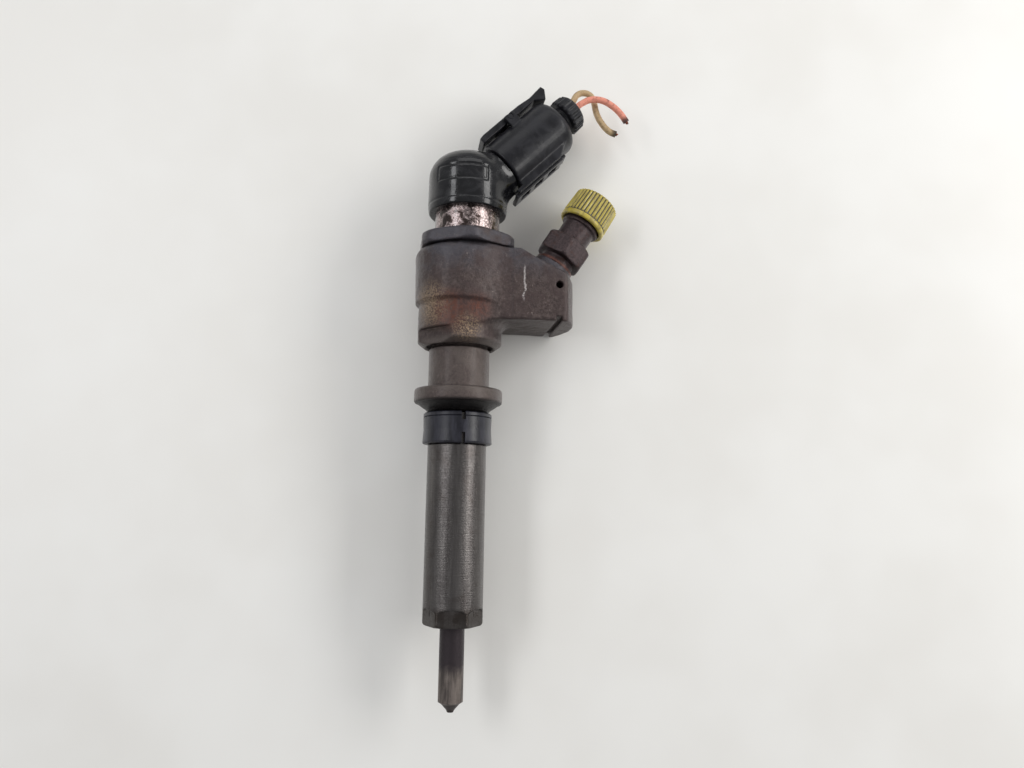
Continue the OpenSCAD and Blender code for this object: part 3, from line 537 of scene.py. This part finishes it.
def make_body():
    s = Space((-16, -15.5, 56), (36, 15.5, 116), 0.3)
    s_x, s_y, s_z = s.x, s.y, s.z
    from_axis = np.sqrt(s_x ** 2 + s_y ** 2)
    barrel = turned(
        [(0, 58), (7, 58), (7, 59.8), (8.7, 59.8), (9.4, 60.6), (12.1, 62.5)]
        + arc(12.1, 63.2, 0.8, -50, 0, 3) + arc(12.3, 66, 0.6, 0, 90, 3)
        + [(8.95, 66.6), (8.95, 78.3), (8.3, 78.8), (8.3, 80.6), (9.8, 80.6), (9.8, 79.2),
           (10.4, 78.9), (12.4, 80.4), (12.4, 90.6)]
        + [(12.5, 91.2), (13.5, 92.0)] + arc(11.6, 106.1, 2.2, 0, 90, 5) + [(0, 108.3)],
        from_axis, s_z)
    fall = 20 * tan(radians(26.5))
    side = outline([(0, 86.4), (36, 86.4), (36, 108.2 - fall), (16.5, 107.9), (0, 107.9)],
                   s_x, s_z)
    plan = np.maximum(abs(s_y) - 11.2, -s_x)
    rounded = np.sqrt((s_x - 14) ** 2 + s_y ** 2) - 19.7
    plan = common(plan, np.where(s_x > 14, rounded, plan), 0.9)
    arm = common(side, plan, 0.9)
    solid = union(barrel, arm, 3.4)
    keep_machined = np.clip((81.2 - s_z) / 0.8, 0, 1)
    # the arm's blend stops short of the machined foot
    solid = barrel * keep_machined + solid * (1 - keep_machined)
    across, along = leaning(s, INLET_X, INLET_Z, INLET_LEAN)
    solid = union(solid, post(np.sqrt(across ** 2 + s_y ** 2), along, 6.3, -6, 3.2), 1.0)
    # the uneven skin of the forging
    hammered = np.clip((s_z - 81.5) / 2, 0, 1) * np.clip((107.8 - s_z) / 2, 0, 1)
    solid = solid + hammered * (0.14 * s.noise(4.5, 11) + 0.07 * s.noise(1.6, 12))
    solid = solid + 0.02 * s.noise(0.9, 13)
    spigot = post(np.sqrt((s_x - ACTUATOR_X) ** 2 + s_y ** 2), s_z, 12, 107, 110.6)
    solid = union(solid, spigot)
    # two spanner flats
    for turn in (42.6, 222.6):
        a = radians(turn)
        flat = np.maximum(10.4 - (s_x * cos(a) + s_y * sin(a)), np.maximum(s_z - 83.6, 76 - s_z))
        solid = without(solid, flat)
    clip_hole = np.maximum(np.sqrt((s_x - 28) ** 2 + (s_z - 97.3) ** 2) - 1.05, s_y + 6.2)
    groove = np.maximum(abs(s_x - 28) - 0.8, s_z - 87.8)
    port = np.maximum(np.sqrt(s_y ** 2 + (s_z - 92) ** 2) - 3.5, 25.7 - s_x)
    for cut in (clip_hole, groove, port):
        solid = without(solid, cut, 0.25)
    # the duct from the return port
    start, end = np.array((26.2, -1.5, 92)), np.array((6, -5.6, 97.2))
    way = end - start
    t = ((s_x - start[0]) * way[0] + (s_y - start[1]) * way[1] + (s_z - start[2]) * way[2])
    t = np.clip(t / (way @ way), 0, 1)
    duct = np.sqrt((s_x - start[0] - way[0] * t) ** 2 + (s_y - start[1] - way[1] * t) ** 2
                   + (s_z - start[2] - way[2] * t) ** 2) - 0.75
    solid = without(solid, duct)
    skin("forged_body", s, solid, "injector", "forged_steel", "injector_body")


make_body()


def make_hex_nut():
    s = Space((-16.5, -16.5, 107.8), (16.5, 16.5, 113.4), 0.3, TO_ACTUATOR)
    radius = np.sqrt(s.x ** 2 + s.y ** 2)
    bar = common(hexagon(s, 27.5, 31), np.maximum(108.6 - s.z, s.z - 112.6), 0.5)
    cone = turned([(0, 108.2), (13.9, 108.2), (15.1, 109.4), (15.1, 111.8), (13.9, 113.0),
                   (0, 113.0)], radius, s.z)
    solid = common(bar, cone, 0.4)
    solid = without(solid, radius - 9.85, 0.4) + 0.05 * s.noise(2.4, 21) + 0.03 * s.noise(0.9, 22)
    skin("hexagon_nut", s, solid, "injector", "forged_steel", "actuator_nut")


make_hex_nut()


def make_nozzle_nut():
    s = Space((-9.3, -9.3, -0.6), (9.3, 9.3, 60.2), 0.25)
    radius = np.sqrt(s.x ** 2 + s.y ** 2)
    solid = turned([(0, 0)] + arc(7.7, 0.8, 0.8, -90, 0, 4) + [(8.5, 50.5), (8, 50.6),
                   (8, 59.6), (0, 59.6)], radius, s.z)
    solid = without(solid, post(radius, s.z, 7.25, 3, 62))
    solid = without(solid, turned([(0, -2), (4.1, -2), (4.1, 0), (3.2, 0.9), (3.2, 5), (0, 5)],
                                  radius, s.z))
    # six milled flats, each with an arched top
    for i in range(6):
        a = radians(NUT_TURN + 60 * i)
        across = -s.x * sin(a) + s.y * cos(a)
        top = 4.9 - 1.3 * (across / 4.33) ** 2
        solid = without(solid, np.maximum(7.5 - s.x * cos(a) - s.y * sin(a), s.z - top), 0.12)
    skin("retaining_nut", s, solid, "injector", "nut_steel", "nozzle_nut")


make_nozzle_nut()


def make_fitting():
    s = Space((-8.5, -8.5, -1), (8.5, 8.5, 28.4), 0.25, TO_INLET)
    radius = np.sqrt(s.x ** 2 + s.y ** 2)
    core = turned([(0, 0), (3.4, 0), (3.4, 4.0), (5.1, 4.0), (5.1, 12), (5.2, 18.2),
                   (6, 18.4), (6, 27.2), (5.6, 27.6), (0, 27.6)], radius, s.z)
    bar = common(hexagon(s, 14, 30), np.maximum(5.9 - s.z, s.z - 12.4), 0.4)
    cone = turned([(0, 5.7), (7.0, 5.7), (8.0, 6.7), (8.0, 11.6), (7.0, 12.6), (0, 12.6)],
                  radius, s.z)
    solid = union(core, common(bar, cone, 0.3), 0.5)
    # the thread for the pressure pipe, under the dust cap
    pitch = 1.5
    wave = abs(((s.z / pitch - np.arctan2(s.y, s.x) / (2 * pi)) % 1) - 0.5) * 2
    threaded = np.clip((s.z - 19) / 0.8, 0, 1) * np.clip((27.2 - s.z) / 0.8, 0, 1)
    solid = solid + threaded * np.where(radius > 4, 0.45 * (1 - wave), 0)
    bore = turned([(0, 10), (1.6, 10), (1.6, 24.6), (4.2, 28), (0, 28)], radius, s.z)
    solid = without(solid, bore) + 0.04 * s.noise(2.0, 31) + 0.03 * s.noise(0.8, 32)
    skin("union_fitting", s, solid, "injector", "fitting_steel", "inlet_fitting")


make_fitting()

# ---- connector -----------------------------------------------------------------------


def make_cap():
    s = Space((-13, -13, 118), (26, 13, 152), 0.25)
    radius = np.sqrt((s.x - ACTUATOR_X) ** 2 + s.y ** 2)
    shell = turned([(0, 120.4), (11.5, 120.4), (11.75, 120.6), (12.05, 122.2)]
                   + arc(4.05, 131.3, 8, 0, 90, 10) + [(0, 139.3)], radius, s.z)
    across, along = leaning(s, ACTUATOR_X, PLUG_Z, PLUG_LEAN)
    out = np.sqrt(across ** 2 + s.y ** 2)
    solid = union(shell, post(out, along, 7.9, 3, 14.2), 2.2)
    solid = union(solid, post(out, along, 6.4, 3, 26), 0.3)
    solid = without(solid, post(out, along, 5.5, 17, 40), 0.2)
    catch = np.maximum(abs(across + 6.75) - 1, np.maximum(abs(s.y) - 1.5, abs(along - 20.3) - 0.8))
    solid = union(solid, catch, 0.2)
    # an empty frame sunk into the near side
    cap_r, frame_turn, frame_z = 12, -104, 130.2
    turn = np.degrees(np.arctan2(s.y, s.x - ACTUATOR_X)) - frame_turn
    frame_u, frame_v = abs(turn) * radians(1) * cap_r - 7.9, abs(s.z - frame_z) - 2.1
    edge = np.maximum(frame_u, frame_v)
    line = np.clip(1.3 - abs(edge) / 0.32, 0, 1)
    solid = solid + np.where((radius > 10) & (s.y < 0), 0.22 * line, 0)
    # a shallow groove round the foot
    solid = solid + 0.18 * np.clip(1.2 - abs(s.z - 122.6) / 0.4, 0, 1) * (radius > 10.5)
    solid = solid + 0.04 * s.noise(5, 41)
    skin("connector_shell", s, solid, "injector", "cap_plastic", "connector_cap")


make_cap()


def make_plug():
    s = Space((-13, -12, 9), (12, 12, 44), 0.25, TO_PLUG)
    radius = np.sqrt(s.x ** 2 + s.y ** 2)
    solid = turned([(0, 14.5), (8.5, 14.5), (8.8, 14.8)] + arc(5.8, 35.9, 3, 0, 75, 6)
                   + [(4.2, 39.5), (4.2, 40.4), (0, 40.4)], radius, s.z)
    for side in (-1, 1):
        y = side * 4.5
        rail = block(s, (4, y - 0.9, 14.5), (9.6, y + 0.9, 30))
        ramp = np.maximum(outline([(4, 29), (9.6, 29), (9.6, 30), (6.5, 35), (4, 35)],
                                  s.x, s.z), abs(s.y - y) - 0.9)
        nose = block(s, (8.4, y - 0.9, 12), (9.6, y + 0.9, 15))
        solid = union(solid, union(union(rail, ramp), nose), 0.5)
        ear = block(s, (-11.1, side * 4.9 - 0.6, 25.2), (-6, side * 4.9 + 0.6, 28.8))
        solid = union(solid, ear, 0.4)
    solid = without(solid, post(radius, s.z, 7.1, 6, 18), 0.2)
    channel = np.maximum(post(radius, s.z, 7.1, 14, 27), 5.3 - radius)
    solid = without(solid, channel)
    for side in (-1, 1):
        lane = np.sqrt((s.x - LANE_X) ** 2 + (s.y - side * LANE_Y) ** 2)
        solid = without(solid, post(lane, s.z, 1.5, 17, 32))
    solid = without(solid, post(radius, s.z, 3.9, 31, 50))
    solid = without(solid, block(s, (-14, -2, 12), (-6, 2, 21.7)), 0.2)
    pivot = np.maximum(np.sqrt((s.x - LATCH_X) ** 2 + (s.z - LATCH_Z) ** 2) - 0.95, abs(s.y) - 8)
    solid = without(solid, pivot) + 0.03 * s.noise(4, 51)
    skin("plug_shell", s, solid, "plug", "plug_plastic", "plug_housing")


def make_latch():
    s = Space((-13, -6.5, 14), (-6, 6.5, 45), 0.2, TO_PLUG)
    side = outline([(-9.3, 15.4), (-11.2, 15.4), (-11.5, 17), (-11.5, 32), (-11, 36.5),
                    (-11.5, 41.9), (-10, 42.3), (-7.4, 40.3), (-7.6, 39.7), (-9.5, 37.1),
                    (-9.4, 32)], s.x, s.z)
    solid = common(side, abs(s.y) - 4, 0.45)
    pin = np.maximum(np.sqrt((s.x - LATCH_X) ** 2 + (s.z - LATCH_Z) ** 2) - 0.9, abs(s.y) - 5.4)
    solid = union(solid, pin, 0.1)
    solid = union(solid, block(s, (-9.4, -1.4, 21.4), (-8, 1.4, 22.4)), 0.2)
    # grip ridges on the tail
    ridges = 0.12 * np.cos(2 * pi * s.z / 1.3) * np.clip((s.z - 32.5) / 2, 0, 1)
    solid = solid + np.where((s.x < -10.6) & (abs(s.y) < 3.4), ridges, 0) * (s.z < 40.5)
    skin("latch_lever", s, solid, "latch", "plug_plastic", "plug_latch")


def make_lock():
    s = Space((8, -4.5, 9), (12, 4.5, 34), 0.2, TO_PLUG)
    slab = block(s, (9.25, -3.25, 11.25), (10.05, 3.25, 30.65)) - 0.25
    solid = union(slab, block(s, (9.2, -2.4, 26.2), (9.8, 2.4, 32.4)) - 0.2, 0.3)
    for low in (13.4, 19.2, 25):
        solid = without(solid, block(s, (8, -1.8, low), (12.5, 1.8, low + 3.4)), 0.3)
    skin("lock_slide_plate", s, solid, "lock", "plug_plastic", "plug_lock")


def make_collar():
    s = Space((-7, -7, 39.5), (7, 7, 47.1), 0.2, TO_PLUG)
    radius = np.sqrt(s.x ** 2 + s.y ** 2)
    turn = np.arctan2(s.y, s.x)
    solid = turned([(3.3, 40.5), (4, 40.5), (4, 41.5), (5.4, 41.5), (5.75, 42), (5.6, 45.1),
                    (5.2, 45.9), (3.3, 45.9)], radius, s.z)
    solid = without(solid, radius - 3.3)
    ribs = 0.22 * np.cos(20 * turn) * np.clip((s.z - 41.5) / 0.4, 0, 1) * (radius > 4.6)
    solid = solid - ribs * np.clip((45.7 - s.z) / 0.5, 0, 1)
    skin("rear_collar", s, solid, "plug", "plug_plastic", "wire_collar")


make_plug()
make_latch()
make_lock()
make_collar()

# ---- dust cap: knurled barrel, plain rim, flat top -----------------------------------


def make_dust_cap():
    ribs, per_rib = 36, 8
    around = ribs * per_rib
    rim_z, top_z, barrel_r = 19.6, 29.3, 7.12
    rows = [(6.1, 28.2, 0), (6.1, rim_z + 0.4, 0), (6.4, rim_z, 0), (7.2, rim_z, 0),
            (7.45, rim_z + 0.25, 0), (7.45, rim_z + 1.15, 0), (7.3, rim_z + 1.4, 0),
            (7.1, rim_z + 1.55, 0), (barrel_r, rim_z + 1.8, 0.6)]
    rows += [(barrel_r - DUST_CAP_TAPER * i, rim_z + 2.2 + i, 1) for i in range(8)]
    rows += [(6.72, top_z - 0.5, 0.7), (6.5, top_z - 0.2, 0.4), (6.15, top_z, 0),
             (4.6, top_z, 0), (4.4, top_z - 0.25, 0), (0, top_z - 0.25, 0)]
    points, faces = [], []
    for r, z, share in rows[:-1]:
        for i in range(around):
            a = 2 * pi * i / around
            wave = 0.5 + 0.5 * cos(2 * pi * i / per_rib)
            out = r + share * (0.46 * wave ** 0.8 - 0.12)
            points.append(TO_INLET @ Vector((out * cos(a), out * sin(a), z)) * MM)
    for k in range(len(rows) - 2):
        for i in range(around):
            j = (i + 1) % around
            faces.append((k * around + i, k * around + j,
                          (k + 1) * around + j, (k + 1) * around + i))
    points.append(TO_INLET @ Vector((0, 0, rows[-1][1])) * MM)
    last = (len(rows) - 2) * around
    faces += [(last + i, last + (i + 1) % around, len(points) - 1) for i in range(around)]
    points.append(TO_INLET @ Vector((0, 0, rows[0][1])) * MM)
    faces += [((i + 1) % around, i, len(points) - 1) for i in range(around)]
    mesh_piece("dust_cap_shell", points, faces, "inlet_cap", "dust_cap_plastic", "dust_cap")


make_dust_cap()

# ---- wires ---------------------------------------------------------------------------
# The routes are part.scad's own, in the plug's frame.
PINK_COURSE = [
    (-0.5, -1.9, 29.6), (-0.5, -1.9, 32), (-0.5, -1.9, 34.5), (-0.5, -1.9, 37),
    (-0.5, -1.9, 39.5), (-0.4, -1.8, 42), (-0.1, -1.6, 44.6), (0.3, -1.5, 47.2),
    (0.6, -1.6, 49.6), (1.3, -1.8, 51.9),
    (3, -2, 54), (4.9, -2.2, 55.2), (7.1, -2.4, 55.8), (9.5, -2.5, 56.1),
    (12, -2.5, 56), (14.5, -2.4, 55.6)]
BEIGE_COURSE = [
    (-0.5, 1.9, 29.6), (-0.5, 1.9, 32), (-0.5, 1.9, 34.5), (-0.5, 1.9, 37),
    (-0.5, 1.9, 39.5), (-0.8, 1.8, 42), (-1.2, 1.6, 44.6), (-1.8, 1.5, 47.2),
    (-2.6, 1.5, 49.7), (-3.2, 1.6, 52), (-2.4, 1.6, 54.1), (-0.6, 1.5, 55.1),
    (1.5, 1.3, 54.7), (3.3, 1.1, 53.5), (5, 0.9, 52.3),
    (6.9, 0.8, 51.4), (8.9, 0.8, 50.9), (11, 0.8, 50.7), (12.9, 0.9, 51), (14.6, 1, 51.9)]
WIRE_R = 1.0
STRAND_SIDES = 8
BUNDLE_R = 0.34                  # from the middle strand to the six round it
paints["copper"] = copper_strand()
paints["pink_insulation"] = wire_rubber(
    "pink_insulation", (0.70, 0.265, 0.185), (0.26, 0.085, 0.060), PINK_COURSE[-1])
paints["beige_insulation"] = wire_rubber(
    "beige_insulation", (0.44, 0.315, 0.170), (0.17, 0.105, 0.050), BEIGE_COURSE[-1])


def strand_end(name, course, seed):
    """The cut end: a short bundle of copper strands in the middle of the insulation."""
    end, before = Vector(course[-1]), Vector(course[-2])
    along = (end - before).normalized()
    across = along.cross(Vector((0, 1, 0))).normalized()
    up = across.cross(along)
    chance = np.random.default_rng(seed)
    points, faces = [], []
    spots = [(0, 0)] + [(BUNDLE_R * cos(i * pi / 3), BUNDLE_R * sin(i * pi / 3)) for i in range(6)]
    for u, v in spots:
        reach = 0.35 + 0.45 * chance.random()
        drift = across * (chance.random() - 0.5) * 0.2 + up * (chance.random() - 0.5) * 0.2
        base = len(points)
        for k, (step, r) in enumerate(((-0.5, 0.16), (0.2, 0.16), (reach, 0.15), (reach, 0.02))):
            for n in range(STRAND_SIDES):
                a = 2 * pi * n / STRAND_SIDES
                spot = (end + along * step + across * (u + r * cos(a)) + up * (v + r * sin(a))
                        + drift * max(step, 0))
                points.append(TO_PLUG @ spot * MM)
        for k in range(3):
            ring, following = base + STRAND_SIDES * k, base + STRAND_SIDES * (k + 1)
            for n in range(STRAND_SIDES):
                m = (n + 1) % STRAND_SIDES
                faces.append((ring + n, ring + m, following + m, following + n))
        faces.append(tuple(base + n for n in reversed(range(STRAND_SIDES))))
        faces.append(tuple(base + 3 * STRAND_SIDES + n for n in range(STRAND_SIDES)))
    mesh = bpy.data.meshes.new(name)
    mesh.from_pydata([tuple(p) for p in points], [], faces)
    mesh.materials.append(paints["copper"])
    piece = bpy.data.objects.new(name, mesh)
    bpy.context.scene.collection.objects.link(piece)
    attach(piece, "plug")
    return piece


def make_wire(name, course, slot, node, seed):
    data = bpy.data.curves.new(name, "CURVE")
    data.dimensions = "3D"
    spline = data.splines.new("BEZIER")
    spline.bezier_points.add(len(course) - 1)
    for knot, point in zip(spline.bezier_points, course):
        knot.co = TO_PLUG @ Vector(point) * MM
        knot.handle_left_type = knot.handle_right_type = "AUTO"
    spline.resolution_u = 6
    data.bevel_depth = WIRE_R * MM
    data.bevel_resolution = 6
    data.use_fill_caps = True
    data.materials.append(paints[slot])
    piece = bpy.data.objects.new(name, data)
    bpy.context.scene.collection.objects.link(piece)
    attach(piece, "plug")
    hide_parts(node)
    strands = strand_end(name + "_strands", course, seed)


make_wire("pink_wire", PINK_COURSE, "pink_insulation", "wire_pink", 61)
make_wire("beige_wire", BEIGE_COURSE, "beige_insulation", "wire_beige", 62)

# ---- CAD nodes that stay -------------------------------------------------------------
node_slot = {part["node"]: part["material_slot"] for part in frame["record"]["subparts"]}
for node_name, node_object in frame["nodes"].items():
    node_object.data.materials.clear()
    node_object.data.materials.append(paints[node_slot[node_name]])

# ---- table, lights and background ----------------------------------------------------
TABLE_NORMAL = Vector((-sin(TABLE_TURN), -cos(TABLE_TURN), 0))
TABLE_FAR = 15.3                 # from the nozzle axis to the table, in millimetres
TABLE_HALF = 3                   # half the table's side, in metres
MIDDLE_Z = 0.06                  # the height that the table and the lights centre on, in metres


def make_table():
    p = Paint("table", Specular_IOR_Level=0.35)
    mottle = p.noise(60, detail=3)
    colour = p.mix(p.step(mottle, 0.3, 0.7), (0.74, 0.725, 0.69), (0.78, 0.77, 0.74))
    p.finish(colour, p.step(mottle, 0.3, 0.7, 0.38, 0.46))
    # seen or lit from behind the table isn't there, so the rear of the injector shows
    tree = p.tree
    clear, blend = p.add("ShaderNodeBsdfTransparent"), p.add("ShaderNodeMixShader")
    facing, path = p.add("ShaderNodeNewGeometry"), p.add("ShaderNodeLightPath")
    share = p.sum("MAXIMUM", facing.outputs["Backfacing"], path.outputs["Is Shadow Ray"])
    tree.links.new(share, blend.inputs[0])
    tree.links.new(p.shader.outputs[0], blend.inputs[1])
    tree.links.new(clear.outputs[0], blend.inputs[2])
    tree.links.new(blend.outputs[0], tree.nodes["Material Output"].inputs["Surface"])
    mesh = bpy.data.meshes.new("table")
    side = Vector((cos(TABLE_TURN), -sin(TABLE_TURN), 0))
    up = Vector((0, 0, 1))
    middle = -TABLE_NORMAL * TABLE_FAR * MM + up * MIDDLE_Z
    corners = [middle + side * a * TABLE_HALF + up * b * TABLE_HALF
               for a, b in ((-1, -1), (1, -1), (1, 1), (-1, 1))]
    mesh.from_pydata(corners, [], [(0, 1, 2, 3)])
    mesh.materials.append(p.material)
    table = bpy.data.objects.new("table", mesh)
    bpy.context.scene.collection.objects.link(table)


def softbox(name, place, size, power, tint=(1, 1, 1)):
    data = bpy.data.lights.new(name, "AREA")
    data.shape = "RECTANGLE"
    data.size, data.size_y = size
    data.energy = power
    data.color = tint
    lamp = bpy.data.objects.new(name, data)
    bpy.context.scene.collection.objects.link(lamp)
    lamp.location = place
    aim = Vector((0.005, 0, MIDDLE_Z)) - lamp.location
    lamp.rotation_mode = "QUATERNION"
    lamp.rotation_quaternion = aim.to_track_quat("-Z", "Y")


make_table()
softbox("window_right", (0.52, -0.42, 0.22), (0.20, 0.55), 2.7, (1.0, 0.99, 0.97))
softbox("window_left", (-0.50, -0.46, 0.22), (0.14, 0.50), 1.4, (0.97, 0.98, 1.0))
softbox("ceiling", (0.0, -0.35, 0.62), (0.6, 0.3), 0.8)
softbox("back_fill", (-0.35, 0.55, 0.25), (0.5, 0.5), 2.5)
softbox("back_fill_right", (0.45, 0.45, 0.10), (0.3, 0.5), 1.5)

world = bpy.data.worlds.new("studio")
world.use_nodes = True
world.node_tree.nodes["Background"].inputs["Color"].default_value = (0.90, 0.91, 0.93, 1)
world.node_tree.nodes["Background"].inputs["Strength"].default_value = 0.55
bpy.context.scene.world = world
bpy.context.scene.view_settings.view_transform = "Standard"
